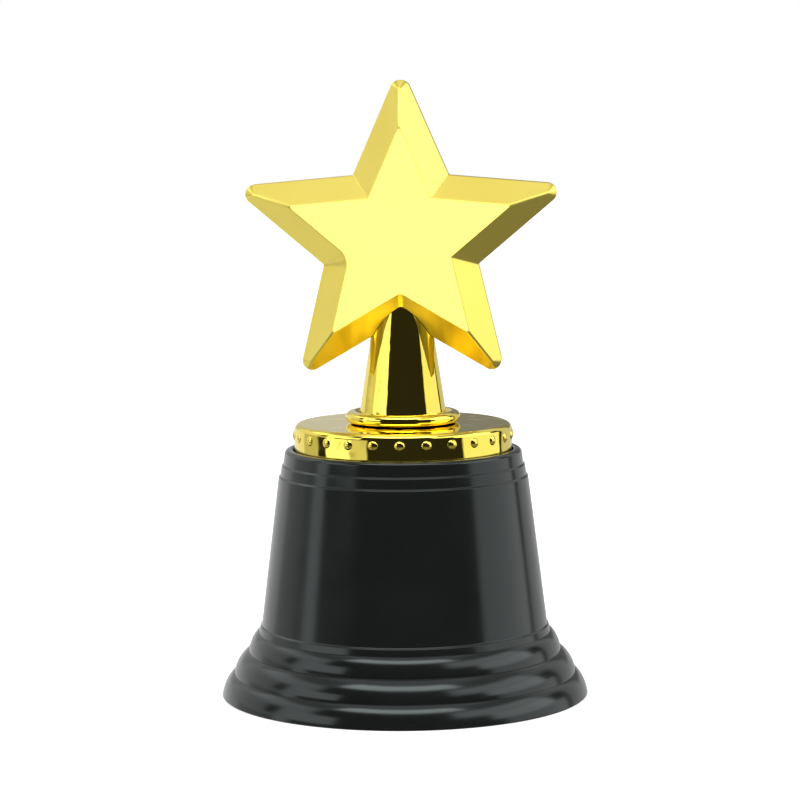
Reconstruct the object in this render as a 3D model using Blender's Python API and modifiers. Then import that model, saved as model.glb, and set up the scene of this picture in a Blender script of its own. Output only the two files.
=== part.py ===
"""Star trophy: a hollow gold star on a conical stem and a studded disc, screwed to a hollow black base.

Metres, +Z up. The origin is on the floor, on the axis of the base, and the star faces -Y.
Nothing on it moves: the tie screw pulls stem, disc and base together, and the stem's tongue is
locked between the two halves of the star.
"""

import math

import bmesh
import bpy
from mathutils import Matrix, Vector

# ---------------------------------------------------------------- driving dimensions, metres
GAP = 0.0003  # kept wherever two pieces meet
JOIN = 0.0008  # how far a feature is sunk into the wall that it grows from

# base: a bell of three tiers, a tapered wall and a rim round a recess
BASE_HEIGHT = 0.0506
FOOT_RADIUS = 0.0375
TIER_HEIGHTS = (0.0046, 0.0045, 0.0040)
TIER_SETBACKS = (0.0025, 0.0030, 0.0021)
TIER_FULLNESS = 1.55  # exponent of the shoulder: 1 is a straight slope, 2 an ellipse
COLLAR_HEIGHT = 0.0016
COLLAR_SETBACK = 0.00065
RIM_WALL = 0.0016
RIM_ROUND = 0.0009
LINE_DEPTH = 0.00035  # the two fine steps below the rim
LINE_DROPS = (0.0054, 0.0031)
BASE_WALL = 0.0018
RECESS_RADIUS = 0.0225
RECESS_DEPTH = 0.0025
DECK_THICKNESS = 0.0022
BOSS_RADIUS = 0.0050
BOSS_DROP = 0.0025
DECK_RIBS = 6
DECK_RIB_WIDTH = 0.0012

# disc: a polished cap with a row of domed studs round its side
DISC_HEIGHT = 0.00745
DISC_EDGE = 0.0012
DISC_WALL = 0.0016
HUB_WALL = 0.0018
STUDS = 26
STUD_RADIUS = 0.0010
STUD_PROUD = 0.0004
STUD_DROP = 0.0023  # centre of the row below the disc's top
STUD_OFFSET_DEG = 0.7  # the nearest stud to the front, seen from above

# stem: a hollow cone on a ringed flange, with a spigot below and a tongue above
STEM_RADIUS = 0.00913  # of the cone, taken down to the disc's top
STEM_TAPER = 0.1518
STEM_WALL = 0.0016
SPIGOT_RADIUS = 0.0082
BEAD_HEIGHT = 0.0022  # a half-round ring that sits on the disc, with a groove inside it
BEAD_LAND = 0.0021
BEAD_SLOPE = 0.0003
GROOVE_WIDTH = 0.0005
GROOVE_DEPTH = 0.0005
CORE_HEIGHT = 0.0086  # of the hollow round the screw post, above the disc's top
POST_RADIUS = 0.0050
TONGUE_WIDTH = 0.0070
TONGUE_THICKNESS = 0.0024
TONGUE_LENGTH = 0.0115
NECK_BELOW_CENTRE = 0.0103  # the cone's end below the star's centre
CORE_PIN_TOP = 0.0045  # solid left between the screw's run-out bore and the cone's end

# star
STAR_LIFT = 0.03735  # its centre above the disc's top
STAR_RADIUS = 0.03605
STAR_SQUASH = 0.974  # height over width
NOTCH_RADIUS = 0.01645
TIP_ROUND = 0.0020  # of the outline; the ridge above it runs out to RIDGE_TIP_ROUND
RIDGE_TIP_ROUND = 0.0004
NOTCH_ROUND = 0.0006
HALF_DEPTH = 0.0082
SIDE_BAND = 0.0028
BEVEL_INSET = 0.00485
RIDGE_ROUND = 0.0004
STAR_WALL = 0.0016
RIB_THICKNESS = 0.0012
RIB_START = 0.0050
PIN_RADIUS = 0.0010
SOCKET_WALL = 0.0010
PIN_REACH = 0.0030  # into the back half, past the middle plane
LOCK_PIN_RADIUS = 0.0013
LOCK_PIN_DROP = 0.0026  # below the star's centre
CHEEK_THICKNESS = 0.0012

# fastening: an M4 screw, its washer and a brass insert in the stem's post
SCREW_RADIUS = 0.00195
SCREW_LENGTH = 0.0160
SCREW_HEAD_RADIUS = 0.0038
SCREW_HEAD_HEIGHT = 0.0026
SCREW_CHAMFER = 0.0004
CROSS_WIDTH = 0.0009
CROSS_LENGTH = 0.0044
CROSS_DEPTH = 0.0013
WASHER_RADIUS = 0.0045
WASHER_THICKNESS = 0.0010
INSERT_RADIUS = 0.0031
INSERT_LENGTH = 0.0080
INSERT_WAIST = 0.0003
INSERT_BAND = 0.0022

ROUND_STEPS = 48
SMALL_STEPS = 24
TIER_STEPS = 5

# ---------------------------------------------------------------- heights that follow
RECESS_Z = BASE_HEIGHT - RECESS_DEPTH
DECK_Z = RECESS_Z - DECK_THICKNESS
BOSS_Z = DECK_Z - BOSS_DROP
DISC_Z = RECESS_Z + GAP
DISC_TOP = DISC_Z + DISC_HEIGHT
DISC_RADIUS = RECESS_RADIUS - GAP
RIM_RADIUS = RECESS_RADIUS + RIM_WALL
HUB_BORE = SPIGOT_RADIUS + GAP
STAR_Z = DISC_TOP + STAR_LIFT
NECK_Z = STAR_Z - NECK_BELOW_CENTRE
LOCK_Z = STAR_Z - LOCK_PIN_DROP
WASHER_Z = BOSS_Z - GAP - WASHER_THICKNESS
HEAD_Z = WASHER_Z - GAP
SCREW_CLEARANCE = SCREW_RADIUS + GAP
INSERT_Z = DISC_Z + GAP
TIP_HALF_ANGLE = math.atan2(
    NOTCH_RADIUS * math.sin(math.pi / 5), STAR_RADIUS - NOTCH_RADIUS * math.cos(math.pi / 5)
)
NOTCH_HALF_ANGLE = TIP_HALF_ANGLE + math.pi / 5


# ---------------------------------------------------------------- collections and materials
def clear_scene():
    for item in list(bpy.data.objects):
        bpy.data.objects.remove(item, do_unlink=True)


def collection(name):
    group = bpy.data.collections.get(name) or bpy.data.collections.new(name)
    if name not in bpy.context.scene.collection.children:
        bpy.context.scene.collection.children.link(group)
    return group


def material(name, colour, roughness, metallic):
    made = bpy.data.materials.new(name)
    made.use_nodes = True
    shader = made.node_tree.nodes["Principled BSDF"]
    shader.inputs["Base Color"].default_value = (*colour, 1.0)
    shader.inputs["Roughness"].default_value = roughness
    shader.inputs["Metallic"].default_value = metallic
    made.diffuse_color = (*colour, 1.0)
    return made


def place(mesh, name, finish=None):
    """A mesh as a part when it has a finish, and as a hidden cutter when it has none."""
    item = bpy.data.objects.new(name, mesh)
    if finish is None:
        collection("cutters").objects.link(item)
        item.hide_render = True
        item.display_type = "WIRE"
    else:
        collection("star_trophy").objects.link(item)
        mesh.materials.append(finish)
    return item


def from_bmesh(work, name, finish=None):
    mesh = bpy.data.meshes.new(name)
    work.to_mesh(mesh)
    work.free()
    return place(mesh, name, finish)


def boolean(target, operand, operation):
    step = target.modifiers.new(operand.name, "BOOLEAN")
    step.operation = operation
    step.solver = "EXACT"
    step.object = operand


# ---------------------------------------------------------------- basic shapes
def rounded(corners, steps=4):
    """The points of a closed outline of (u, v, radius) corners, those with a radius made arcs."""
    points = []
    for index, (u, v, radius) in enumerate(corners):
        here = Vector((u, v))
        if radius <= 0:
            points.append(here)
            continue
        back = (Vector(corners[index - 1][:2]) - here).normalized()
        ahead = (Vector(corners[(index + 1) % len(corners)][:2]) - here).normalized()
        half = back.angle(ahead) / 2
        centre = here + (back + ahead).normalized() * radius / math.sin(half)
        start = here + back * radius / math.tan(half) - centre
        turn = start.angle_signed(here + ahead * radius / math.tan(half) - centre)
        for step in range(steps + 1):
            points.append(centre + Matrix.Rotation(-turn * step / steps, 2) @ start)
    return points


def turned(name, outline, finish=None, steps=ROUND_STEPS, on_axis=False):
    """A turned piece from (radius, height) points that run down its outer side."""
    work = bmesh.new()
    verts = [work.verts.new((radius, 0, height)) for radius, height in outline]
    for first, second in zip(verts, verts[1:]):
        work.edges.new((first, second))
    if not on_axis:
        work.edges.new((verts[-1], verts[0]))
    item = from_bmesh(work, name, finish)
    screw = item.modifiers.new("turn", "SCREW")
    screw.steps = steps
    screw.render_steps = steps
    screw.use_merge_vertices = True
    screw.merge_threshold = 0.00001
    screw.use_smooth_shade = True
    return item


def block(name, low, high, turn=0.0, about=(0, 0, 0)):
    """A box between two corners, turned by an angle about the Y direction through a point."""
    work = bmesh.new()
    bmesh.ops.create_cube(work, size=1.0)
    size = Vector(high) - Vector(low)
    bmesh.ops.scale(work, vec=size, verts=work.verts)
    bmesh.ops.translate(work, vec=(Vector(high) + Vector(low)) / 2, verts=work.verts)
    pivot = Vector(about)
    spin = Matrix.Translation(pivot) @ Matrix.Rotation(turn, 4, "Y") @ Matrix.Translation(-pivot)
    bmesh.ops.transform(work, matrix=spin, verts=work.verts)
    return from_bmesh(work, name)


def rod(name, radius, x, z, front, back):
    """A round rod along Y from front to back."""
    work = bmesh.new()
    bmesh.ops.create_cone(
        work,
        cap_ends=True,
        segments=16,
        radius1=radius,
        radius2=radius,
        depth=back - front,
        matrix=Matrix.Translation((x, (front + back) / 2, z)) @ Matrix.Rotation(math.pi / 2, 4, "X"),
    )
    return from_bmesh(work, name)


# ---------------------------------------------------------------- base
def wall_radius(height):
    """Radius of the tapered wall's line, before the fine steps."""
    foot = sum(TIER_HEIGHTS) + COLLAR_HEIGHT
    foot_radius = FOOT_RADIUS - sum(TIER_SETBACKS) - COLLAR_SETBACK
    top_radius = RIM_RADIUS + LINE_DEPTH * len(LINE_DROPS)
    return foot_radius + (top_radius - foot_radius) * (height - foot) / (BASE_HEIGHT - foot)


def tier_corners():
    """The sharp lines between the tiers, as (radius, height) from the foot up."""
    corners = [(FOOT_RADIUS, 0.0)]
    for setback, height in zip(TIER_SETBACKS, TIER_HEIGHTS):
        radius, level = corners[-1]
        corners.append((radius - setback, level + height))
    return corners


def tier_shoulder(foot, top):
    """The bulging side of one tier from its top down to its foot, foot left out."""
    power = 2 / TIER_FULLNESS
    points = []
    for step in range(TIER_STEPS):
        turn = math.pi / 2 * (1 - step / TIER_STEPS)
        radius = top[0] + (foot[0] - top[0]) * math.cos(turn) ** power
        height = foot[1] + (top[1] - foot[1]) * math.sin(turn) ** power
        points.append((radius, height))
    return points


def base_outline():
    points = [(RECESS_RADIUS, BASE_HEIGHT), (RIM_RADIUS - RIM_ROUND, BASE_HEIGHT)]
    for step in range(1, 4):
        turn = math.pi / 2 * step / 3
        radius = RIM_RADIUS - RIM_ROUND * (1 - math.sin(turn))
        points.append((radius, BASE_HEIGHT - RIM_ROUND * (1 - math.cos(turn))))
    for index, drop in enumerate(sorted(LINE_DROPS)):
        level = BASE_HEIGHT - drop
        inner = LINE_DEPTH * (len(LINE_DROPS) - index)
        points.append((wall_radius(level) - inner, level + LINE_DEPTH / 2))
        points.append((wall_radius(level) - inner + LINE_DEPTH, level - LINE_DEPTH / 2))
    corners = tier_corners()
    top_radius, top_level = corners[-1]
    foot = top_level + COLLAR_HEIGHT
    points.append((wall_radius(foot), foot))
    points.append((top_radius - COLLAR_SETBACK / 2, foot - COLLAR_SETBACK / 2))
    for foot_corner, top_corner in reversed(list(zip(corners, corners[1:]))):
        points += tier_shoulder(foot_corner, top_corner)
    points.append(corners[0])
    points += [(radius - BASE_WALL, level) for radius, level in corners]
    points.append((wall_radius(foot) - BASE_WALL, foot))
    points.append((wall_radius(DECK_Z) - BASE_WALL, DECK_Z))
    points += [(BOSS_RADIUS, DECK_Z), (BOSS_RADIUS, BOSS_Z)]
    points += [(SCREW_CLEARANCE, BOSS_Z), (SCREW_CLEARANCE, RECESS_Z), (RECESS_RADIUS, RECESS_Z)]
    return points


def make_base(finish):
    shell = turned("base_shell", base_outline(), finish)
    inner = (SCREW_CLEARANCE + BOSS_RADIUS) / 2
    outer = wall_radius(DECK_Z) - BASE_WALL + JOIN / 2
    for index in range(DECK_RIBS):
        rib = block(
            f"deck_rib_{index}",
            (inner, -DECK_RIB_WIDTH / 2, BOSS_Z + GAP),
            (outer, DECK_RIB_WIDTH / 2, DECK_Z + JOIN),
        )
        rib.rotation_euler.z = 2 * math.pi * (index + 0.5) / DECK_RIBS
        boolean(shell, rib, "UNION")


# ---------------------------------------------------------------- disc
def make_disc(finish):
    top = DISC_TOP
    inside = DISC_RADIUS - DISC_WALL
    hub = HUB_BORE + HUB_WALL
    outline = rounded(
        [
            (HUB_BORE, top, 0),
            (DISC_RADIUS, top, DISC_EDGE),
            (DISC_RADIUS, DISC_Z, 0),
            (inside, DISC_Z, 0),
            (inside, top - DISC_WALL, 0),
            (hub, top - DISC_WALL, 0),
            (hub, DISC_Z, 0),
            (HUB_BORE, DISC_Z, 0),
        ]
    )
    disc = turned("studded_disc", outline, finish, steps=2 * STUDS)
    depth = min(2 * STUD_PROUD, DISC_WALL / 2 + STUD_PROUD)
    sunk = depth - STUD_PROUD
    spread = STUD_RADIUS / math.sqrt(1 - (sunk / depth) ** 2)
    for index in range(STUDS):
        work = bmesh.new()
        bmesh.ops.create_uvsphere(work, u_segments=10, v_segments=6, radius=1.0)
        bmesh.ops.rotate(work, matrix=Matrix.Rotation(math.pi / 2, 3, "Y"), verts=work.verts)
        bmesh.ops.scale(work, vec=(depth, spread, spread), verts=work.verts)
        bmesh.ops.translate(work, vec=(DISC_RADIUS - sunk, 0, top - STUD_DROP), verts=work.verts)
        stud = from_bmesh(work, f"stud_{index}")
        stud.rotation_euler.z = math.radians(STUD_OFFSET_DEG - 90) + 2 * math.pi * index / STUDS
        boolean(disc, stud, "UNION")


# ---------------------------------------------------------------- stem
def stem_radius(height):
    return STEM_RADIUS - STEM_TAPER * (height - DISC_TOP)


def make_stem(finish):
    seat = DISC_TOP + GAP
    crown = seat + BEAD_HEIGHT
    groove = crown - GROOVE_DEPTH
    groove_radius = stem_radius(groove)
    bead_inner = groove_radius + GROOVE_WIDTH
    bead_outer = max(bead_inner + BEAD_SLOPE, HUB_BORE) + BEAD_LAND
    bead_round = BEAD_HEIGHT / 2.1
    core_top = DISC_TOP + CORE_HEIGHT
    bore = INSERT_RADIUS + GAP
    bore_top = INSERT_Z + INSERT_LENGTH + GAP
    run_out_top = NECK_Z - CORE_PIN_TOP
    inside = SPIGOT_RADIUS - STEM_WALL
    corners = [
        (0, NECK_Z, 0),
        (stem_radius(NECK_Z), NECK_Z, 0),
        (groove_radius, groove, 0),
        (bead_inner, groove, 0),
        (bead_inner + BEAD_SLOPE, crown, GROOVE_DEPTH / 2),
        (bead_outer, crown, bead_round),
        (bead_outer, seat, bead_round),
        (SPIGOT_RADIUS, seat, 0),
        (SPIGOT_RADIUS, DISC_Z, 0),
        (inside, DISC_Z, 0),
        (inside, seat, 0),
        (stem_radius(core_top) - STEM_WALL, core_top, 0),
        (POST_RADIUS, core_top, 0),
        (POST_RADIUS, DISC_Z, 0),
        (bore, DISC_Z, 0),
        (bore, bore_top, 0),
        (SCREW_CLEARANCE, bore_top, 0),
        (SCREW_CLEARANCE, run_out_top, 0),
        (0, run_out_top, 0),
    ]
    stem = turned("stem", rounded(corners), finish, steps=40, on_axis=True)
    half = TONGUE_THICKNESS / 2
    tongue = block(
        "tongue",
        (-TONGUE_WIDTH / 2, -half, NECK_Z - JOIN),
        (TONGUE_WIDTH / 2, half, NECK_Z + TONGUE_LENGTH),
    )
    boolean(stem, tongue, "UNION")
    hole = rod("tongue_hole", LOCK_PIN_RADIUS + GAP, 0, LOCK_Z, -POST_RADIUS, POST_RADIUS)
    boolean(stem, hole, "DIFFERENCE")


# ---------------------------------------------------------------- star
def star_ring(inset, tip_round, notch_round):
    """Points round a five-pointed outline moved in by inset, as (across, up) from its centre."""
    points = []
    tip = STAR_RADIUS - inset / math.sin(TIP_HALF_ANGLE) - tip_round / math.sin(TIP_HALF_ANGLE)
    notch = NOTCH_RADIUS - inset / math.sin(NOTCH_HALF_ANGLE) + notch_round / math.sin(NOTCH_HALF_ANGLE)
    for arm in range(5):
        out = math.pi / 2 + 2 * math.pi * arm / 5
        for centre, radius, reach, turn, steps in (
            (tip, tip_round, math.pi / 2 - TIP_HALF_ANGLE, out, 6),
            (notch, -notch_round, NOTCH_HALF_ANGLE - math.pi / 2, out + math.pi / 5, 2),
        ):
            for step in range(steps + 1):
                lean = turn + reach * (2 * step / steps - 1)
                across = centre * math.cos(turn) + radius * math.cos(lean)
                up = centre * math.sin(turn) + radius * math.sin(lean)
                points.append((across, up * STAR_SQUASH))
    return points


def bevel_corners(skin):
    """The (inset, depth) corners of the bevel at a distance below the star's surface."""
    rise = HALF_DEPTH - SIDE_BAND
    slant = math.hypot(rise, BEVEL_INSET)
    inset = skin * rise / slant
    depth = SIDE_BAND - skin * BEVEL_INSET / slant
    low = (skin, depth + (skin - inset) * rise / BEVEL_INSET)
    high = (inset + (HALF_DEPTH - skin - depth) * BEVEL_INSET / rise, HALF_DEPTH - skin)
    return low, high


def star_solid(name, side, skin, start, finish=None):
    """Half a bevelled star from a depth start outwards, on side -1 (front) or +1 (back)."""
    low, high = bevel_corners(skin)
    if skin:
        sections = [(skin, start), low, high]
    else:
        beyond = (high[0] + 2 * RIDGE_ROUND, high[1], 0)
        tip_end = TIP_ROUND - RIDGE_TIP_ROUND
        run_out = (tip_end, SIDE_BAND + tip_end * (HALF_DEPTH - SIDE_BAND) / BEVEL_INSET, 0)
        outline = [(0, start, 0), (*low, RIDGE_ROUND), run_out, (*high, RIDGE_ROUND), beyond]
        sections = [tuple(point) for point in rounded(outline, 2)[:-1]]
    work = bmesh.new()
    rings = []
    for inset, depth in sections:
        ring = star_ring(inset, max(TIP_ROUND - inset, RIDGE_TIP_ROUND), NOTCH_ROUND)
        rings.append([work.verts.new((x, side * depth, STAR_Z + z)) for x, z in ring])
    for first, second in zip(rings, rings[1:]):
        pairs = [*zip(first, first[1:] + first[:1]), *zip(second, second[1:] + second[:1])]
        edges = [work.edges.get(pair) or work.edges.new(pair) for pair in pairs]
        bmesh.ops.bridge_loops(work, edges=edges)
    work.faces.new(rings[0])
    work.faces.new(rings[-1])
    bmesh.ops.recalc_face_normals(work, faces=work.faces)
    return from_bmesh(work, name, finish)


def arm_pins():
    """Where the five pins stand, each as far out along its arm as the flat face has room for."""
    boss = PIN_RADIUS + GAP + SOCKET_WALL
    face_tip = STAR_RADIUS - BEVEL_INSET / math.sin(TIP_HALF_ANGLE)
    reach = face_tip - (boss + GAP) / math.sin(TIP_HALF_ANGLE)
    for arm in range(5):
        out = math.pi / 2 + 2 * math.pi * arm / 5
        yield reach * math.cos(out), STAR_Z + reach * math.sin(out) * STAR_SQUASH


def star_features(label, side):
    """The ribs, cheeks and bosses inside one half, kept within the middle of its wall."""
    near = GAP * 2
    far = HALF_DEPTH
    low, high = min(side * near, side * far), max(side * near, side * far)
    reach = NOTCH_RADIUS
    gathered = star_solid(f"{label}_features", side, STAR_WALL / 2, near / 2)
    parts = []
    for index, notch in enumerate((1, 3, 7, 9)):
        turn = math.pi / 2 - math.pi * notch / 5
        rib = block(
            f"{label}_rib_{index}",
            (RIB_START, low, STAR_Z - RIB_THICKNESS / 2),
            (reach, high, STAR_Z + RIB_THICKNESS / 2),
            turn=-turn,
            about=(0, 0, STAR_Z),
        )
        parts.append(rib)
    cheek = TONGUE_WIDTH / 2 + GAP
    for index, edge in enumerate((-cheek - CHEEK_THICKNESS, cheek)):
        parts.append(
            block(
                f"{label}_cheek_{index}",
                (edge, low, NECK_Z + 2 * GAP),
                (edge + CHEEK_THICKNESS, high, STAR_Z + RIB_START),
            )
        )
    boss = PIN_RADIUS + GAP + SOCKET_WALL
    for index, (x, z) in enumerate(arm_pins()):
        parts.append(rod(f"{label}_boss_{index}", boss, x, z, low, high))
    seat = side * (TONGUE_THICKNESS / 2 + GAP)
    lock = LOCK_PIN_RADIUS + GAP + SOCKET_WALL
    parts.append(rod(f"{label}_lock_boss", lock, 0, LOCK_Z, min(seat, side * far), max(seat, side * far)))
    return gathered, parts


def make_star_half(label, side, finish):
    half = star_solid(label, side, 0, GAP / 2, finish)
    boolean(half, star_solid(f"{label}_cavity", side, STAR_WALL, -HALF_DEPTH / 4), "DIFFERENCE")
    limit, parts = star_features(label, side)
    for part in parts:
        boolean(part, limit, "INTERSECT")
        boolean(half, part, "UNION")
    neck = turned(
        f"{label}_neck_way",
        [
            (0, NECK_Z + GAP),
            (stem_radius(NECK_Z) + GAP, NECK_Z + GAP),
            (stem_radius(STAR_Z - STAR_RADIUS) + GAP, STAR_Z - STAR_RADIUS),
            (0, STAR_Z - STAR_RADIUS),
        ],
        steps=40,
        on_axis=True,
    )
    boolean(half, neck, "DIFFERENCE")
    return half


def make_star(finish):
    front = make_star_half("star_front", -1, finish)
    back = make_star_half("star_back", 1, finish)
    floor = HALF_DEPTH - STAR_WALL
    places = [(x, z, PIN_RADIUS) for x, z in arm_pins()] + [(0, LOCK_Z, LOCK_PIN_RADIUS)]
    for index, (x, z, radius) in enumerate(places):
        boolean(front, rod(f"pin_{index}", radius, x, z, -floor, PIN_REACH), "UNION")
        socket = rod(f"socket_{index}", radius + GAP, x, z, -GAP, PIN_REACH + GAP)
        boolean(back, socket, "DIFFERENCE")


# ---------------------------------------------------------------- fastening
def make_screw(finish):
    tip = HEAD_Z + SCREW_LENGTH
    under = HEAD_Z - SCREW_HEAD_HEIGHT
    outline = rounded(
        [
            (0, tip, 0),
            (SCREW_RADIUS - SCREW_CHAMFER, tip, 0),
            (SCREW_RADIUS, tip - SCREW_CHAMFER, 0),
            (SCREW_RADIUS, HEAD_Z, 0),
            (SCREW_HEAD_RADIUS, HEAD_Z, 0),
            (SCREW_HEAD_RADIUS, under, SCREW_HEAD_HEIGHT * 0.6),
            (0, under, 0),
        ]
    )
    screw = turned("tie_screw", outline, finish, steps=SMALL_STEPS, on_axis=True)
    reach = CROSS_LENGTH / 2
    wide = CROSS_WIDTH / 2
    for index, (x, y) in enumerate(((reach, wide), (wide, reach))):
        recess = block(f"cross_{index}", (-x, -y, under - CROSS_DEPTH), (x, y, under + CROSS_DEPTH))
        boolean(screw, recess, "DIFFERENCE")


def make_washer(finish):
    top = WASHER_Z + WASHER_THICKNESS
    outline = [
        (SCREW_CLEARANCE, top),
        (WASHER_RADIUS, top),
        (WASHER_RADIUS, WASHER_Z),
        (SCREW_CLEARANCE, WASHER_Z),
    ]
    turned("tie_washer", outline, finish, steps=SMALL_STEPS)


def make_insert(finish):
    top = INSERT_Z + INSERT_LENGTH
    waist = INSERT_RADIUS - INSERT_WAIST
    outline = [
        (SCREW_CLEARANCE, top),
        (INSERT_RADIUS, top),
        (INSERT_RADIUS, top - INSERT_BAND),
        (waist, top - INSERT_BAND),
        (waist, INSERT_Z + INSERT_BAND),
        (INSERT_RADIUS, INSERT_Z + INSERT_BAND),
        (INSERT_RADIUS, INSERT_Z),
        (SCREW_CLEARANCE, INSERT_Z),
    ]
    turned("stem_insert", outline, finish, steps=SMALL_STEPS)


def main():
    clear_scene()
    black = material("black_plastic", (0.012, 0.014, 0.013), 0.25, 0.0)
    polished = material("polished_gold", (1.0, 0.78, 0.16), 0.06, 1.0)
    satin = material("satin_gold", (1.0, 0.80, 0.18), 0.32, 1.0)
    brass = material("brass", (0.80, 0.58, 0.22), 0.25, 1.0)
    steel = material("zinc_steel", (0.62, 0.63, 0.65), 0.30, 1.0)
    make_base(black)
    make_disc(polished)
    make_stem(polished)
    make_star(satin)
    make_insert(brass)
    make_screw(steel)
    make_washer(steel)


main()
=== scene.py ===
"""Looks of the star trophy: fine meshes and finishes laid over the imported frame, in metres, +Z up.

The star faces -Y. Every piece stands still, so each one rides on the root body.
"""

import math

import bmesh
import bpy
from mathutils import Matrix, Vector


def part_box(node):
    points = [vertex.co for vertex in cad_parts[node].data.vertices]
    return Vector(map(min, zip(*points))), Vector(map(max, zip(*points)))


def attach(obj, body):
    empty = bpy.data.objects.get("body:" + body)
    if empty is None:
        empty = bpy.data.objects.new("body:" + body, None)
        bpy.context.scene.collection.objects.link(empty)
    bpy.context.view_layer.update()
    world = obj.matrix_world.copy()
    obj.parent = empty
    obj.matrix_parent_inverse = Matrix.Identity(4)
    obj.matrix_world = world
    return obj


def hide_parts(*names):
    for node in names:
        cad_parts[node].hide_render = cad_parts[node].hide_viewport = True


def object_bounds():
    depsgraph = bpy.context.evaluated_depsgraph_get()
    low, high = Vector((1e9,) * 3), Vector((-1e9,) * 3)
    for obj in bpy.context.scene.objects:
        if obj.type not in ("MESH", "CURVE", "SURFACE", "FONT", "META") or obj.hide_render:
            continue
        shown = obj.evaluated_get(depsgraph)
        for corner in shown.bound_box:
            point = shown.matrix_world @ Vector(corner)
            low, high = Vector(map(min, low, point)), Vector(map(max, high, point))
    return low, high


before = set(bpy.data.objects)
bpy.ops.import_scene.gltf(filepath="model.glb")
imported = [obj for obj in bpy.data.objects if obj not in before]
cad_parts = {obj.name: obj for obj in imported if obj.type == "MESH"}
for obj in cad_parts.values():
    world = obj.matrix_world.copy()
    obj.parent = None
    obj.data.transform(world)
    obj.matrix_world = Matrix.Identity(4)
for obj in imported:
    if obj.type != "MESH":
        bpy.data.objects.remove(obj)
CAD_BOX = [list(corner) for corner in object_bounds()]

# ---------------------------------------------------------------- sizes
MM = 0.001
BASE_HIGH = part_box("base_shell")[1]
DISC_LOW, DISC_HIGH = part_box("studded_disc")
STEM_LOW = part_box("stem")[0]
SCREW_LOW, SCREW_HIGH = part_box("tie_screw")
WASHER_LOW, WASHER_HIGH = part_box("tie_washer")
INSERT_LOW, INSERT_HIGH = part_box("stem_insert")
STAR_FRONT_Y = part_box("star_front")[0][1]

SEGMENTS = 192
FIT = 0.1 * MM  # what shows between two pieces that seat on each other

# base
FOOT_RADIUS = BASE_HIGH[0]
BASE_TOP = BASE_HIGH[2]
TIERS = ((4.6 * MM, 2.5 * MM), (4.5 * MM, 3.0 * MM), (4.0 * MM, 2.1 * MM))  # height, setback
TIER_FULLNESS = 1.55
TIER_STEPS = 18
FOOT_EDGE = 0.25 * MM
COLLAR_HEIGHT = 1.6 * MM
COLLAR_SETBACK = 0.65 * MM
RIM_RADIUS = 24.1 * MM
RIM_ROUND = 0.9 * MM
LINE_DEPTH = 0.35 * MM
LINE_DROPS = (5.4 * MM, 3.1 * MM)
BASE_WALL = 1.8 * MM
RECESS_RADIUS = 22.5 * MM
RECESS_DEPTH = 2.5 * MM
DECK_THICKNESS = 2.2 * MM
BOSS_RADIUS = 5.0 * MM
BOSS_DROP = 2.5 * MM
BOLT_WAY = 2.25 * MM
DECK_RIBS = 6
DECK_RIB_WIDTH = 1.2 * MM

# disc
DISC_TOP = DISC_HIGH[2]
DISC_RADIUS = 22.2 * MM
DISC_EDGE = 1.2 * MM
DISC_WALL = 1.6 * MM
HUB_BORE = 8.5 * MM
HUB_WALL = 1.8 * MM
STUDS = 26
STUD_RADIUS = 1.0 * MM
STUD_PROUD = 0.4 * MM
STUD_DROP = 2.3 * MM
STUD_TURN = math.radians(0.7 - 90)

# stem
STEM_RADIUS = 9.13 * MM
STEM_TAPER = 0.1518
STEM_WALL = 1.6 * MM
SPIGOT_RADIUS = 8.2 * MM
BEAD_TOP = 2.5 * MM  # above the disc
BEAD_LAND = 2.1 * MM
BEAD_SLOPE = 0.3 * MM
GROOVE_WIDTH = 0.5 * MM
GROOVE_DEPTH = 0.5 * MM
CORE_HEIGHT = 8.6 * MM
POST_RADIUS = 5.0 * MM
INSERT_BORE = 3.4 * MM

# star
STAR_Z = DISC_TOP + 37.35 * MM
STAR_RADIUS = 36.05 * MM
STAR_SQUASH = 0.974
NOTCH_RADIUS = 16.45 * MM
HALF_DEPTH = -STAR_FRONT_Y
SIDE_BAND = 2.8 * MM
BEVEL_INSET = 4.85 * MM
TIP_ROUND = 2.0 * MM  # of the outline; the ridge above it runs out to RIDGE_TIP_ROUND
RIDGE_TIP_ROUND = 0.35 * MM
NOTCH_ROUND = 0.6 * MM
FACE_NOTCH_ROUNDS = (0.4, 4.0, 1.4, 0.35, 0.5)  # millimetres, from the upper left notch round
RIDGE_ROUND = 0.3 * MM
STAR_WALL = 1.6 * MM
SEAM = 0.01 * MM
NECK_Z = STAR_Z - 10.3 * MM
NECK_SEGMENTS = 96
SEAM_EDGE = 0.12 * MM
TIP_HALF_ANGLE = math.atan2(
    NOTCH_RADIUS * math.sin(math.pi / 5), STAR_RADIUS - NOTCH_RADIUS * math.cos(math.pi / 5)
)
NOTCH_HALF_ANGLE = TIP_HALF_ANGLE + math.pi / 5

# fastening
METAL_SEGMENTS = 64
METAL_EDGE = 0.12 * MM
SHANK_RADIUS = 1.95 * MM
HEAD_RADIUS = 3.8 * MM
HEAD_HEIGHT = 2.6 * MM
HEAD_ROUND = 1.6 * MM
CROSS_REACH = 2.2 * MM
CROSS_HALF_WIDTH = 0.45 * MM
CROSS_DEPTH = 1.3 * MM


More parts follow.
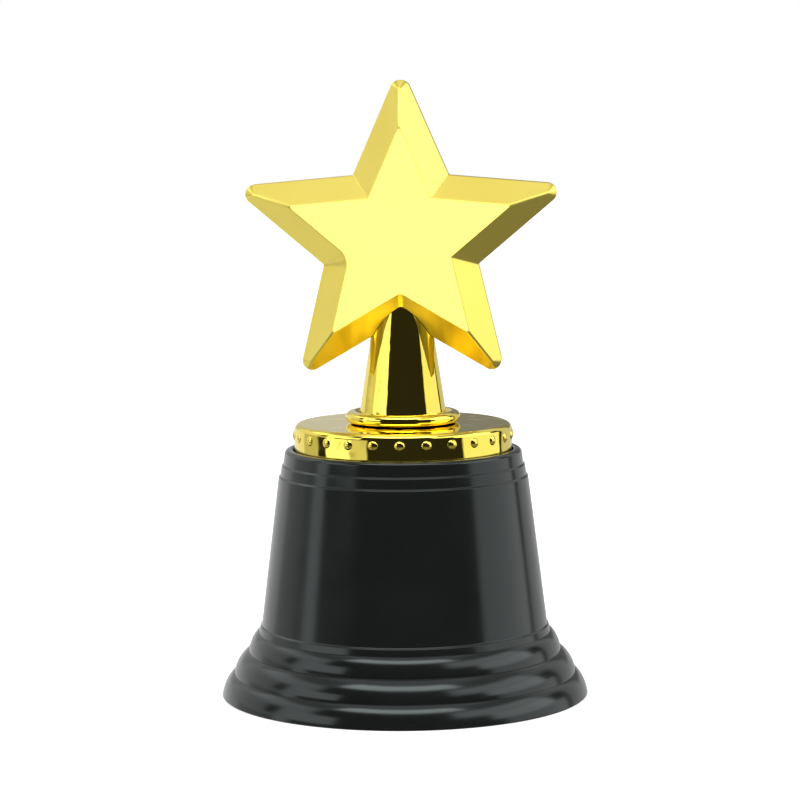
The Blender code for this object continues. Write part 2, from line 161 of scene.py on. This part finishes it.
# ---------------------------------------------------------------- shader sheets
class Number:
    """A number socket in a node tree; arithmetic on it adds Math nodes."""

    def __init__(self, sheet, socket):
        self.sheet = sheet
        self.socket = socket

    def math(self, operation, first, second):
        values = {0: first, 1: second}
        return Number(self.sheet, self.sheet.node("ShaderNodeMath", {"operation": operation}, values))

    def __add__(self, other):
        return self.math("ADD", self, other)

    def __sub__(self, other):
        return self.math("SUBTRACT", self, other)

    def __rsub__(self, other):
        return self.math("SUBTRACT", other, self)

    def __mul__(self, other):
        return self.math("MULTIPLY", self, other)

    def __pow__(self, other):
        return self.math("POWER", self, other)

    def angle_to(self, other):
        return self.math("ARCTAN2", self, other)

    __radd__ = __add__
    __rmul__ = __mul__


class Sheet:
    """A material's or world's node tree, emptied and ready to be drawn on."""

    def __init__(self, owner):
        owner.use_nodes = True
        self.tree = owner.node_tree
        self.tree.nodes.clear()

    def node(self, kind, settings=None, inputs=None, output=0):
        """Adds a node, applies its settings, fills its inputs and returns one of its outputs."""
        made = self.tree.nodes.new(kind)
        for name, value in (settings or {}).items():
            setattr(made, name, value)
        for name, value in (inputs or {}).items():
            if isinstance(value, Number):
                value = value.socket
            if isinstance(value, bpy.types.NodeSocket):
                self.tree.links.new(value, made.inputs[name])
            else:
                made.inputs[name].default_value = value
        return made.outputs[output] if len(made.outputs) else made

    def number(self, *args, **kwargs):
        return Number(self, self.node(*args, **kwargs))

    def place(self):
        return self.node("ShaderNodeTexCoord", output="Object")

    def noise(self, scale, detail=2.0, roughness=0.5, vector=None):
        inputs = {
            "Vector": vector or self.place(),
            "Scale": scale,
            "Detail": detail,
            "Roughness": roughness,
        }
        return self.number("ShaderNodeTexNoise", inputs=inputs)

    def ease(self, value, low, high, start=0.0, end=1.0):
        """value brought from low..high to start..end with soft ends."""
        inputs = {"Value": value, "From Min": low, "From Max": high, "To Min": start, "To Max": end}
        return self.number("ShaderNodeMapRange", {"interpolation_type": "SMOOTHSTEP"}, inputs)

    def mix(self, share, first, second):
        """Two colours mixed by a share."""
        made = self.tree.nodes.new("ShaderNodeMix")
        made.data_type = "RGBA"
        ends = [socket for socket in made.inputs if socket.type == "RGBA"]
        for socket, value in zip(ends, (first, second)):
            if isinstance(value, bpy.types.NodeSocket):
                self.tree.links.new(value, socket)
            else:
                socket.default_value = (*value, 1.0)
        self.tree.links.new(share.socket, made.inputs["Factor"])
        return next(socket for socket in made.outputs if socket.type == "RGBA")

    def bump(self, height, distance, strength=1.0):
        inputs = {"Height": height, "Distance": distance, "Strength": strength}
        return self.node("ShaderNodeBump", inputs=inputs)

    def surface(self, **inputs):
        """Closes a material with one Principled shader."""
        named = {name.replace("_", " "): value for name, value in inputs.items()}
        shader = self.node("ShaderNodeBsdfPrincipled", inputs=named)
        self.node("ShaderNodeOutputMaterial", inputs={"Surface": shader})


def finish_sheet(name):
    made = bpy.data.materials.new(name)
    return made, Sheet(made)


# ---------------------------------------------------------------- finishes
def satin_gold():
    """Metallised plastic with a soft lustre: a clear lacquer over a very slightly clouded gold."""
    made, sheet = finish_sheet("satin_gold_finish")
    cloud = sheet.noise(45.0, detail=3.0)
    grain = sheet.noise(5200.0, detail=2.0)
    colour = sheet.mix(sheet.ease(cloud, 0.35, 0.65), (1.0, 0.81, 0.155), (1.0, 0.83, 0.175))
    rough = sheet.ease(cloud, 0.3, 0.7, 0.30, 0.36) + (grain - 0.5) * 0.05
    peel = sheet.noise(900.0, detail=1.0)
    sheet.surface(
        Base_Color=colour,
        Metallic=1.0,
        Roughness=rough,
        Normal=sheet.bump(peel + grain * 0.3, 0.004 * MM, 0.5),
    )
    return made


def polished_gold():
    """Metallised plastic polished in the mould, with its ripple and the faint marks of its draw."""
    made, sheet = finish_sheet("polished_gold_finish")
    ripple = sheet.noise(160.0, detail=2.0)
    haze = sheet.noise(2600.0, detail=2.0)
    along_draw = {0: sheet.place(), 1: (1.0, 1.0, 0.06)}
    drawn = sheet.node("ShaderNodeVectorMath", {"operation": "MULTIPLY"}, along_draw)
    marks = sheet.noise(420.0, detail=1.0, vector=drawn)
    colour = sheet.mix(sheet.ease(ripple, 0.3, 0.7), (1.0, 0.79, 0.12), (1.0, 0.82, 0.14))
    sheet.surface(
        Base_Color=colour,
        Metallic=1.0,
        Roughness=sheet.ease(haze, 0.3, 0.8, 0.02, 0.05),
        Normal=sheet.bump(ripple + marks * 0.25, 0.22 * MM, 0.5),
    )
    return made


def black_plastic():
    """Moulded black plastic: a fine spark-eroded grain under a soft gloss."""
    made, sheet = finish_sheet("black_plastic_finish")
    grain = sheet.noise(3600.0, detail=3.0, roughness=0.6)
    flow = sheet.noise(70.0, detail=3.0)
    colour = sheet.mix(sheet.ease(flow, 0.3, 0.7), (0.0085, 0.0105, 0.0095), (0.0105, 0.0125, 0.0115))
    sheet.surface(
        Base_Color=colour,
        Roughness=sheet.ease(flow, 0.3, 0.7, 0.15, 0.18) + (grain - 0.5) * 0.04,
        Specular_Tint=(0.90, 1.0, 1.0, 1.0),
        Normal=sheet.bump(grain, 0.006 * MM, 0.5),
    )
    return made


def turned_metal(name, first, second, rough):
    """Bare metal with the fine rings that a lathe leaves."""
    made, sheet = finish_sheet(name)
    rings = sheet.noise(1800.0, detail=2.0)
    stain = sheet.noise(260.0, detail=3.0)
    sheet.surface(
        Base_Color=sheet.mix(sheet.ease(stain, 0.3, 0.7), first, second),
        Metallic=1.0,
        Roughness=sheet.ease(stain, 0.3, 0.7, rough, rough + 0.1),
        Normal=sheet.bump(rings, 0.01 * MM, 0.4),
    )
    return made


# ---------------------------------------------------------------- mesh helpers
def piece(work, name, material, slot, *nodes):
    """A finished piece from a bmesh: smooth where it is round, riding on the root body."""
    bmesh.ops.remove_doubles(work, verts=work.verts, dist=0.001 * MM)
    bmesh.ops.recalc_face_normals(work, faces=work.faces)
    mesh = bpy.data.meshes.new(name)
    work.to_mesh(mesh)
    work.free()
    made = bpy.data.objects.new(name, mesh)
    bpy.context.scene.collection.objects.link(made)
    return settle(made, material, slot, *nodes)


def settle(made, material, slot, *nodes):
    made.data.materials.clear()
    made.data.materials.append(material)
    made.data.shade_smooth()
    made.data.set_sharp_from_angle(angle=math.radians(38))
    level = made.modifiers.new("flat faces stay flat", "WEIGHTED_NORMAL")
    level.weight = 80
    level.keep_sharp = True
    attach(made, "root")
    if nodes:
        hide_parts(*nodes)
    return made


def plain(made):
    """The object's evaluated mesh made its own, with its modifiers gone."""
    mesh = bpy.data.meshes.new_from_object(made.evaluated_get(bpy.context.evaluated_depsgraph_get()))
    made.modifiers.clear()
    made.data = mesh
    return made


def cut(target, tool, operation="DIFFERENCE"):
    """One exact boolean step, applied at once, after which the tool is gone."""
    step = target.modifiers.new("cut", "BOOLEAN")
    step.operation = operation
    step.object = tool
    plain(target)
    bpy.data.objects.remove(tool, do_unlink=True)


def loose(work, name):
    """A bmesh as a bare object, to cut with or to be cut."""
    bmesh.ops.recalc_face_normals(work, faces=work.faces)
    mesh = bpy.data.meshes.new(name)
    work.to_mesh(mesh)
    work.free()
    made = bpy.data.objects.new(name, mesh)
    bpy.context.scene.collection.objects.link(made)
    return made


def rounded(corners, steps=8):
    """The points of a closed outline of (u, v, radius) corners, those with a radius made arcs."""
    points = []
    for index, (u, v, radius) in enumerate(corners):
        here = Vector((u, v))
        if radius <= 0:
            points.append(here)
            continue
        back = (Vector(corners[index - 1][:2]) - here).normalized()
        ahead = (Vector(corners[(index + 1) % len(corners)][:2]) - here).normalized()
        half = back.angle(ahead) / 2
        centre = here + (back + ahead).normalized() * radius / math.sin(half)
        start = here + back * radius / math.tan(half) - centre
        turn = start.angle_signed(here + ahead * radius / math.tan(half) - centre)
        for step in range(steps + 1):
            points.append(centre + Matrix.Rotation(-turn * step / steps, 2) @ start)
    return points


def turned(outline, segments=SEGMENTS):
    """A bmesh turned about Z from the closed outline of (radius, height) points."""
    work = bmesh.new()
    rings = []
    for radius, height in outline:
        if radius < 0.001 * MM:
            rings.append([work.verts.new((0, 0, height))] * segments)
            continue
        ring = []
        for index in range(segments):
            turn = 2 * math.pi * index / segments
            ring.append(work.verts.new((radius * math.cos(turn), radius * math.sin(turn), height)))
        rings.append(ring)
    for upper, lower in zip(rings, rings[1:] + rings[:1]):
        for index in range(segments):
            after = (index + 1) % segments
            corners = dict.fromkeys((upper[index], lower[index], lower[after], upper[after]))
            if len(corners) > 2:
                work.faces.new(corners)
    return work


def block(low, high):
    work = bmesh.new()
    bmesh.ops.create_cube(work, size=1.0)
    bmesh.ops.scale(work, vec=Vector(high) - Vector(low), verts=work.verts)
    bmesh.ops.translate(work, vec=(Vector(high) + Vector(low)) / 2, verts=work.verts)
    return work


# ---------------------------------------------------------------- base
def wall_radius(height):
    foot = sum(tier[0] for tier in TIERS) + COLLAR_HEIGHT
    foot_radius = FOOT_RADIUS - sum(tier[1] for tier in TIERS) - COLLAR_SETBACK
    top_radius = RIM_RADIUS + LINE_DEPTH * len(LINE_DROPS)
    return foot_radius + (top_radius - foot_radius) * (height - foot) / (BASE_TOP - foot)


def tier_side(foot, top):
    """The bulging side of one tier, from its top down to just above its foot."""
    power = 2 / TIER_FULLNESS
    points = []
    for step in range(TIER_STEPS):
        turn = math.pi / 2 * (1 - step / TIER_STEPS)
        radius = top[0] + (foot[0] - top[0]) * math.cos(turn) ** power
        height = foot[1] + (top[1] - foot[1]) * math.sin(turn) ** power
        points.append((radius, height))
    return points


def base_outline():
    corners = [(FOOT_RADIUS, 0.0)]
    for height, setback in TIERS:
        corners.append((corners[-1][0] - setback, corners[-1][1] + height))
    top_radius, top_level = corners[-1]
    foot = top_level + COLLAR_HEIGHT
    recess = BASE_TOP - RECESS_DEPTH
    deck = recess - DECK_THICKNESS
    upper = [(RECESS_RADIUS, BASE_TOP, 0.3 * MM), (RIM_RADIUS, BASE_TOP, RIM_ROUND)]
    for index, drop in enumerate(sorted(LINE_DROPS)):
        level = BASE_TOP - drop
        inner = wall_radius(level) - LINE_DEPTH * (len(LINE_DROPS) - index)
        upper.append((inner, level + LINE_DEPTH / 2, 0.12 * MM))
        upper.append((inner + LINE_DEPTH, level - LINE_DEPTH / 2, 0.15 * MM))
    upper.append((wall_radius(foot), foot, 0.3 * MM))
    upper.append((top_radius - COLLAR_SETBACK / 2, foot - COLLAR_SETBACK / 2, 0.2 * MM))
    upper.append((top_radius, top_level, 0))
    upper.append((RECESS_RADIUS, top_level, 0))
    points = rounded(upper)[:-2]
    for low_corner, high_corner in reversed(list(zip(corners, corners[1:]))):
        points += tier_side(low_corner, high_corner)
    points.append((FOOT_RADIUS, FOOT_EDGE))
    points.append((FOOT_RADIUS - FOOT_EDGE, 0))
    points += [(radius - BASE_WALL, level) for radius, level in corners]
    points.append((wall_radius(foot) - BASE_WALL, foot))
    points.append((wall_radius(deck) - BASE_WALL, deck))
    points += [(BOSS_RADIUS, deck), (BOSS_RADIUS, deck - BOSS_DROP)]
    points += [(BOLT_WAY, deck - BOSS_DROP), (BOLT_WAY, recess), (RECESS_RADIUS, recess)]
    return points


def make_bell(material):
    shell = loose(turned(base_outline()), "bell")
    deck = BASE_TOP - RECESS_DEPTH - DECK_THICKNESS
    for index in range(DECK_RIBS):
        rib = loose(
            block(
                ((BOLT_WAY + BOSS_RADIUS) / 2, -DECK_RIB_WIDTH / 2, deck - BOSS_DROP + 0.3 * MM),
                (wall_radius(deck) - BASE_WALL / 2, DECK_RIB_WIDTH / 2, deck + 0.8 * MM),
            ),
            "rib",
        )
        rib.rotation_euler.z = 2 * math.pi * (index + 0.5) / DECK_RIBS
        cut(shell, rib, "UNION")
    settle(shell, material, "black_plastic", "base_shell")


# ---------------------------------------------------------------- disc
def make_disc(material):
    inside = DISC_RADIUS - DISC_WALL
    hub = HUB_BORE + HUB_WALL
    low = DISC_LOW[2]
    under = DISC_TOP - DISC_WALL
    outline = rounded(
        [
            (HUB_BORE, DISC_TOP, 0.2 * MM),
            (DISC_RADIUS, DISC_TOP, DISC_EDGE),
            (DISC_RADIUS, low, 0.2 * MM),
            (inside, low, 0.1 * MM),
            (inside, under, 0.3 * MM),
            (hub, under, 0.3 * MM),
            (hub, low, 0.1 * MM),
            (HUB_BORE, low, 0.1 * MM),
        ],
        10,
    )
    piece(turned(outline, 2 * SEGMENTS), "disc_cap", material, "polished_gold", "studded_disc")


def stud_tree():
    """Geometry nodes: domes set round a circle, each facing out, as one plain mesh."""
    tree = bpy.data.node_groups.new("studs_round_a_disc", "GeometryNodeTree")
    for name, kind in (
        ("Count", "NodeSocketInt"),
        ("Ring Radius", "NodeSocketFloat"),
        ("Height", "NodeSocketFloat"),
        ("Turn", "NodeSocketFloat"),
        ("Stud Size", "NodeSocketVector"),
        ("Finish", "NodeSocketMaterial"),
    ):
        tree.interface.new_socket(name, in_out="INPUT", socket_type=kind)
    tree.interface.new_socket("Geometry", in_out="OUTPUT", socket_type="NodeSocketGeometry")
    given = tree.nodes.new("NodeGroupInput").outputs

    def add(kind, settings=None, **links):
        made = tree.nodes.new(kind)
        for name, value in (settings or {}).items():
            setattr(made, name, value)
        for name, value in links.items():
            socket = made.inputs[name.replace("_", " ")]
            if isinstance(value, bpy.types.NodeSocket):
                tree.links.new(value, socket)
            else:
                socket.default_value = value
        return made.outputs

    ring = add(
        "GeometryNodeMeshCircle",
        {"fill_type": "NONE"},
        Vertices=given["Count"],
        Radius=given["Ring Radius"],
    )
    lift = add("ShaderNodeCombineXYZ", Z=given["Height"])
    spin = add("ShaderNodeCombineXYZ", Z=given["Turn"])
    raised = add("GeometryNodeTransform", Geometry=ring["Mesh"], Translation=lift[0], Rotation=spin[0])
    dome = add("GeometryNodeMeshUVSphere", Segments=36, Rings=24, Radius=1.0)
    sized = add("GeometryNodeTransform", Geometry=dome["Mesh"], Scale=given["Stud Size"])
    where = add("GeometryNodeInputPosition")
    flat = add("ShaderNodeVectorMath", {"operation": "MULTIPLY"})
    tree.links.new(where[0], flat[0].node.inputs[0])
    flat[0].node.inputs[1].default_value = (1, 1, 0)
    facing = add("FunctionNodeAlignRotationToVector", {"axis": "X"}, Vector=flat[0])
    studs = add(
        "GeometryNodeInstanceOnPoints",
        Points=raised["Geometry"],
        Instance=sized["Geometry"],
        Rotation=facing[0],
    )
    real = add("GeometryNodeRealizeInstances", Geometry=studs["Instances"])
    done = add("GeometryNodeSetMaterial", Geometry=real["Geometry"], Material=given["Finish"])
    add("NodeGroupOutput", Geometry=done["Geometry"])
    return tree


def make_studs(material):
    depth = 2 * STUD_PROUD
    sunk = depth - STUD_PROUD
    spread = STUD_RADIUS / math.sqrt(1 - (sunk / depth) ** 2)
    made = bpy.data.objects.new("disc_studs", bpy.data.meshes.new("disc_studs"))
    bpy.context.scene.collection.objects.link(made)
    tree = stud_tree()
    values = {
        "Count": STUDS,
        "Ring Radius": DISC_RADIUS - sunk,
        "Height": DISC_TOP - STUD_DROP,
        "Turn": STUD_TURN,
        "Stud Size": (depth, spread, spread),
        "Finish": material,
    }
    step = made.modifiers.new("studs", "NODES")
    step.node_group = tree
    for item in tree.interface.items_tree:
        if item.name in values and item.in_out == "INPUT":
            step[item.identifier] = values[item.name]
    settle(plain(made), material, "polished_gold")


# ---------------------------------------------------------------- stem
def stem_radius(height):
    return STEM_RADIUS - STEM_TAPER * (height - DISC_TOP)


def make_stem(material):
    seat = DISC_TOP + FIT
    crown = DISC_TOP + BEAD_TOP
    groove = crown - GROOVE_DEPTH
    groove_radius = stem_radius(groove)
    inner = groove_radius + GROOVE_WIDTH
    outer = inner + BEAD_SLOPE + BEAD_LAND
    bead_round = (crown - seat) / 2.02
    low = STEM_LOW[2]
    inside = SPIGOT_RADIUS - STEM_WALL
    core_top = DISC_TOP + CORE_HEIGHT
    bore_top = INSERT_HIGH[2] + 0.3 * MM
    run_out_top = NECK_Z - 4.5 * MM
    outline = rounded(
        [
            (0, NECK_Z, 0),
            (stem_radius(NECK_Z), NECK_Z, 0),
            (groove_radius, groove, 0.25 * MM),
            (inner, groove, 0.2 * MM),
            (inner + BEAD_SLOPE, crown, 0.6 * MM),
            (outer, crown, bead_round),
            (outer, seat, bead_round),
            (SPIGOT_RADIUS, seat, 0),
            (SPIGOT_RADIUS, low, 0.2 * MM),
            (inside, low, 0.1 * MM),
            (inside, seat, 0),
            (stem_radius(core_top) - STEM_WALL, core_top, 0),
            (POST_RADIUS, core_top, 0),
            (POST_RADIUS, low, 0.1 * MM),
            (INSERT_BORE, low, 0.1 * MM),
            (INSERT_BORE, bore_top, 0),
            (BOLT_WAY, bore_top, 0),
            (BOLT_WAY, run_out_top, 0),
            (0, run_out_top, 0),
        ]
    )
    piece(turned(outline), "stem_cone", material, "polished_gold", "stem")


# ---------------------------------------------------------------- star
def star_ring(inset):
    """Points round the five-pointed outline moved in by inset, as (across, up) from its centre."""
    points = []
    tip_round = max(TIP_ROUND - inset, RIDGE_TIP_ROUND)
    tip = STAR_RADIUS - (inset + tip_round) / math.sin(TIP_HALF_ANGLE)
    share = min(max(inset / BEVEL_INSET, 0), 1)
    for arm in range(5):
        notch_round = NOTCH_ROUND + (FACE_NOTCH_ROUNDS[arm] * MM - NOTCH_ROUND) * share
        notch = NOTCH_RADIUS - (inset - notch_round) / math.sin(NOTCH_HALF_ANGLE)
        out = math.pi / 2 + 2 * math.pi * arm / 5
        for centre, radius, reach, turn, steps in (
            (tip, tip_round, math.pi / 2 - TIP_HALF_ANGLE, out, 20),
            (notch, -notch_round, NOTCH_HALF_ANGLE - math.pi / 2, out + math.pi / 5, 10),
        ):
            for step in range(steps + 1):
                lean = turn + reach * (2 * step / steps - 1)
                across = centre * math.cos(turn) + radius * math.cos(lean)
                up = centre * math.sin(turn) + radius * math.sin(lean)
                points.append((across, up * STAR_SQUASH))
    return points


def bevel_corners(skin):
    rise = HALF_DEPTH - SIDE_BAND
    slant = math.hypot(rise, BEVEL_INSET)
    inset = skin * rise / slant
    depth = SIDE_BAND - skin * BEVEL_INSET / slant
    low = (skin, depth + (skin - inset) * rise / BEVEL_INSET)
    high = (inset + (HALF_DEPTH - skin - depth) * BEVEL_INSET / rise, HALF_DEPTH - skin)
    return low, high


def star_half(side, skin, start):
    """One bevelled half, a distance skin below its surface, from a depth start outwards."""
    low, high = bevel_corners(skin)
    if skin:
        sections = [(skin, start), low, high]
    else:
        beyond = (high[0] + 2 * RIDGE_ROUND, high[1], 0)
        slope = (HALF_DEPTH - SIDE_BAND) / BEVEL_INSET
        tip_end = TIP_ROUND - RIDGE_TIP_ROUND
        outline = [
            (SEAM_EDGE + 0.3 * MM, start, 0),
            (0, start, SEAM_EDGE),
            (*low, RIDGE_ROUND),
            *((tip_end * part, SIDE_BAND + tip_end * part * slope, 0) for part in (0.4, 0.7, 0.9, 1.0)),
            (*high, RIDGE_ROUND),
            beyond,
        ]
        sections = [tuple(point) for point in rounded(outline, 6)[1:-1]]
    work = bmesh.new()
    rings = []
    for inset, depth in sections:
        ring = star_ring(inset)
        rings.append([work.verts.new((x, side * depth, STAR_Z + z)) for x, z in ring])
    for first, second in zip(rings, rings[1:]):
        for index in range(len(first)):
            after = (index + 1) % len(first)
            work.faces.new((first[index], first[after], second[after], second[index]))
    work.faces.new(rings[0])
    work.faces.new(rings[-1])
    return work


def make_star_half(name, side, material, node):
    half = loose(star_half(side, 0, SEAM / 2), name)
    cut(half, loose(star_half(side, STAR_WALL, -HALF_DEPTH / 4), "cavity"))
    top = NECK_Z + FIT
    low = STAR_Z - STAR_RADIUS
    neck = [(0, top), (stem_radius(NECK_Z) + FIT, top), (stem_radius(low) + FIT, low), (0, low)]
    cut(half, loose(turned(neck, NECK_SEGMENTS), "neck"))
    return settle(half, material, "satin_gold", node)


# ---------------------------------------------------------------- fastening
def make_ring(name, material, slot, node, low, high):
    """A washer or sleeve as tall and wide as its node, with its edges broken."""
    radius = high[0]
    outline = [
        (BOLT_WAY, high[2], METAL_EDGE),
        (radius, high[2], METAL_EDGE),
        (radius, low[2], METAL_EDGE),
        (BOLT_WAY, low[2], METAL_EDGE),
    ]
    piece(turned(rounded(outline, 3), METAL_SEGMENTS), name, material, slot, node)


def make_screw(steel):
    tip = SCREW_HIGH[2]
    under = SCREW_LOW[2]
    bearing = under + HEAD_HEIGHT
    outline = [
        (0, tip, 0),
        (SHANK_RADIUS - 0.45 * MM, tip, 0),
        (SHANK_RADIUS, tip - 0.4 * MM, 0),
        (SHANK_RADIUS, bearing, 0.1 * MM),
        (HEAD_RADIUS, bearing, 0.1 * MM),
        (HEAD_RADIUS, under, HEAD_ROUND),
        (0, under, 0),
    ]
    screw = loose(turned(rounded(outline), METAL_SEGMENTS), "screw")
    deep = under + CROSS_DEPTH
    for x, y in ((CROSS_REACH, CROSS_HALF_WIDTH), (CROSS_HALF_WIDTH, CROSS_REACH)):
        cut(screw, loose(block((-x, -y, under - MM), (x, y, deep)), "recess"))
    settle(screw, steel, "zinc_steel", "tie_screw")


# ---------------------------------------------------------------- stage, light and camera
CAMERA_TURN = math.radians(2.6)
CAMERA_DISTANCE = 0.587
CAMERA_HEIGHT = 0.1231
AIM_HEIGHT = 0.0604
CAMERA_ROLL = math.radians(-0.45)
LENS = 130.3
LENS_SHIFT = -0.0035625

# Soft lights by bearing from the camera's side (right positive) and height above the horizon, in
# degrees, each with its strength: (left, right, bottom, top, edge softness, strength).
LIGHTS = (
    # left side
    (-90, -77, -5, 28, 2, 1.30),
    (-77, -46, 7.5, 28, 1.5, 1.50),
    (-101, -90, 4, 12, 1.5, 0.68),
    (-101, -90, -5, 4, 1.5, 0.35),
    (-89, -58, -14, -5, 2, 1.50),
    (-58, -38, -14, -5, 2, 0.70),
    (-135, -66, 28, 45, 4, 1.40),
    (-85, -45, -62, -24, 5, 0.50),
    (-125, -85, -54, -36, 4, 0.45),
    (-128, -92, -32, -15, 3, 0.55),
    # back
    (-182, -128, -12, 4, 2, 0.85),
    (-128, -101, -12, 4, 2, 0.52),
    (-150, -101, 4, 28, 2, 0.78),
    (-182, -150, 4, 28, 2, 0.54),
    (128, 182, -12, 4, 2, 0.60),
    (128, 150, 4, 28, 2, 0.60),
    (150, 182, 4, 28, 2, 0.20),
    (-182, -135, 28, 45, 4, 0.60),
    (-182, -100, -62, -12, 5, 0.50),
    (100, 182, -62, -12, 5, 0.18),
    # right side
    (66, 122, -12, 14, 2, 1.05),
    (58, 112, 14, 28, 2, 2.00),
    (34, 110, 28, 45, 4, 1.80),
    (110, 182, 28, 45, 4, 0.70),
    # above
    (-150, -60, 45, 64, 4, 0.42),
    (-60, 50, 50, 66, 3, 4.40),
    (50, 210, 45, 64, 4, 0.38),
    (-200, 200, 64, 95, 4, 0.82),
    # table
    (-30, 100, -62, -16, 4, 0.22),
    (-200, 200, -95, -62, 4, 0.14),
)
ROOM = 0.022

# Cards that light only the star, as flagged lights do: the bearing and height of each, then its
# width and height, all in degrees, and its strength.
STAR_CARDS = (
    (-5, 0, 40, 28, 2.60),
    (-76, 2, 26, 40, 0.40),
    (45, 10, 30, 24, 0.60),
)
CARD_DISTANCE = 0.62


def light_world():
    world = bpy.data.worlds.new("studio")
    bpy.context.scene.world = world
    sheet = Sheet(world)
    ray = sheet.node("ShaderNodeTexCoord", output="Generated")
    parts = sheet.node("ShaderNodeSeparateXYZ", inputs={"Vector": ray}).node.outputs
    x, y, z = (Number(sheet, part) for part in parts)
    across = x * math.cos(CAMERA_TURN) + y * math.sin(CAMERA_TURN)
    towards = x * math.sin(CAMERA_TURN) - y * math.cos(CAMERA_TURN)
    bearing = across.angle_to(towards) * math.degrees(1)
    flat = (x * x + y * y) ** 0.5
    height = z.angle_to(flat) * math.degrees(1)
    total = ROOM
    for left, right, bottom, top, soft, strength in LIGHTS:
        lit = sheet.ease(height, bottom - soft, bottom + soft)
        lit = lit * sheet.ease(height, top + soft, top - soft)
        if right - left < 360:
            lit = lit * sheet.ease(bearing, left - soft, left + soft)
            lit = lit * sheet.ease(bearing, right + soft, right - soft)
        total = lit * strength + total
    glow = sheet.node("ShaderNodeBackground", inputs={"Color": (1.0, 1.0, 1.0, 1.0), "Strength": total})
    white = sheet.node("ShaderNodeBackground", inputs={"Color": (1.0, 1.0, 1.0, 1.0), "Strength": 1.0})
    seen = sheet.node("ShaderNodeLightPath", output="Is Camera Ray")
    both = sheet.node("ShaderNodeMixShader", inputs={0: seen, 1: glow, 2: white})
    sheet.node("ShaderNodeOutputWorld", inputs={"Surface": both})


def side_of(bearing, height=0.0):
    """The direction at a bearing from the camera's side and a height above the horizon, in degrees."""
    turn = CAMERA_TURN + math.radians(bearing)
    level = math.cos(math.radians(height))
    return Vector((math.sin(turn) * level, -math.cos(turn) * level, math.sin(math.radians(height))))


def hang_star_cards(star):
    lit = bpy.data.collections.new("lit_by_star_cards")
    for half in star:
        lit.objects.link(half)
    for index, (bearing, height, wide, tall, strength) in enumerate(STAR_CARDS):
        card = bpy.data.lights.new(f"star_card_{index}", "AREA")
        card.shape = "RECTANGLE"
        card.size = 2 * CARD_DISTANCE * math.tan(math.radians(wide / 2))
        card.size_y = 2 * CARD_DISTANCE * math.tan(math.radians(tall / 2))
        card.energy = strength * math.pi * card.size * card.size_y
        stand = bpy.data.objects.new(f"star_card_{index}", card)
        bpy.context.scene.collection.objects.link(stand)
        out = side_of(bearing, height)
        stand.location = Vector((0, 0, STAR_Z)) + out * CARD_DISTANCE
        stand.rotation_euler = out.to_track_quat("Z", "Y").to_euler()
        stand.visible_camera = False
        stand.light_linking.receiver_collection = lit


def lay_floor():
    made, sheet = finish_sheet("pale_floor")
    speckle = sheet.noise(30.0, detail=2.0)
    sheet.surface(
        Base_Color=sheet.mix(speckle, (0.80, 0.80, 0.80), (0.83, 0.83, 0.83)),
        Roughness=0.9,
        Emission_Color=(1.0, 1.0, 1.0, 1.0),
        Emission_Strength=0.55,
    )
    work = bmesh.new()
    bmesh.ops.create_grid(work, x_segments=1, y_segments=1, size=3.0)
    floor = loose(work, "floor")
    floor.location.z = CAD_BOX[0][2] - 0.02 * MM
    floor.data.materials.append(made)
    floor.visible_glossy = False


def set_camera():
    data = bpy.data.cameras.new("camera")
    data.lens = LENS
    data.shift_x = LENS_SHIFT
    camera = bpy.data.objects.new("camera", data)
    bpy.context.scene.collection.objects.link(camera)
    camera.location = side_of(0) * CAMERA_DISTANCE + Vector((0, 0, CAMERA_HEIGHT))
    look = Vector((0, 0, AIM_HEIGHT)) - camera.location
    aim = look.to_track_quat("-Z", "Y").to_matrix().to_4x4() @ Matrix.Rotation(CAMERA_ROLL, 4, "Z")
    camera.rotation_euler = aim.to_euler()
    bpy.context.scene.camera = camera


def main():
    satin = satin_gold()
    polished = polished_gold()
    black = black_plastic()
    brass = turned_metal("brass_finish", (0.80, 0.58, 0.22), (0.72, 0.50, 0.18), 0.2)
    steel = turned_metal("zinc_finish", (0.62, 0.63, 0.65), (0.55, 0.57, 0.60), 0.25)
    make_bell(black)
    make_disc(polished)
    make_studs(polished)
    make_stem(polished)
    face = make_star_half("star_face_half", -1, satin, "star_front")
    rear = make_star_half("star_rear_half", 1, satin, "star_back")
    make_ring("washer_ring", steel, "zinc_steel", "tie_washer", WASHER_LOW, WASHER_HIGH)
    make_ring("insert_sleeve", brass, "brass_insert", "stem_insert", INSERT_LOW, INSERT_HIGH)
    make_screw(steel)
    lay_floor()
    light_world()
    hang_star_cards((face, rear))
    set_camera()
    bpy.context.scene.view_settings.view_transform = "Standard"


main()
